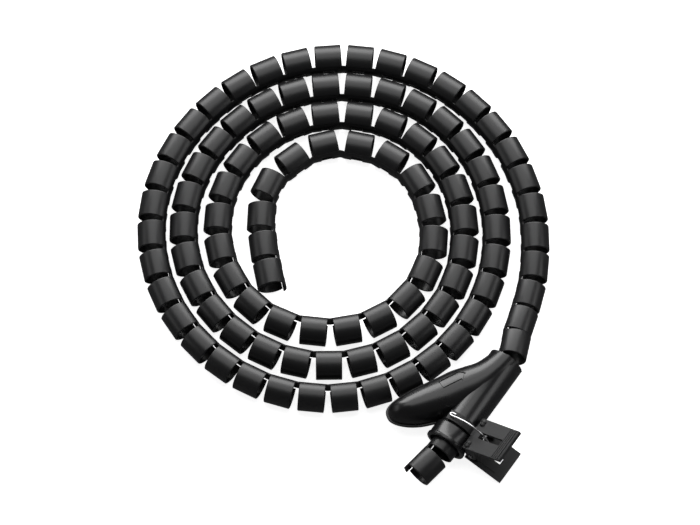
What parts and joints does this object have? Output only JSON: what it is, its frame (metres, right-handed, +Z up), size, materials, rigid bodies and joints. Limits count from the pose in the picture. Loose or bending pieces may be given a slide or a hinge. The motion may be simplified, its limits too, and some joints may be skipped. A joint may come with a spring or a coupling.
{
  "type": "spiral cable wrap",
  "caption": "Coil of slotted plastic cable wrap with its end threaded through a two-branch fitting tool held by a sprung clip.",
  "frame": {"origin": "on the floor under the middle of the whole part's bounding box", "axes": "+Z up, +Y from the tool's end of the coil to its far side, +X to the side on which the wrap's outer end leaves the coil"},
  "size_m": [0.2798, 0.32, 0.0441],
  "materials": {
    "wrap_plastic": "satin black moulded plastic",
    "tool_plastic": "glossy black moulded plastic",
    "clip_plastic": "dull black moulded plastic with fine ribs",
    "bright_steel": "bright drawn spring wire"
  },
  "bodies": {
    "coil_and_tool": {"wrap": "wrap_plastic", "applicator_tool": "tool_plastic", "clip_lever_lower": "clip_plastic", "clip_pin": "bright_steel", "clip_spring": "bright_steel"},
    "upper_lever": {"clip_lever_upper": "clip_plastic"}
  },
  "joints": [
    {"name": "clip_squeeze", "type": "hinge", "parent": "coil_and_tool", "child": "upper_lever", "pos_m": [0.09264, -0.13062, 0.01665], "axis": [0.5678, 0.8231, 0], "range_deg": [0, 30], "stiffness_Nm_per_rad": 0.15, "springref_deg": -20.05, "deforming": ["clip_spring"]}
  ]
}
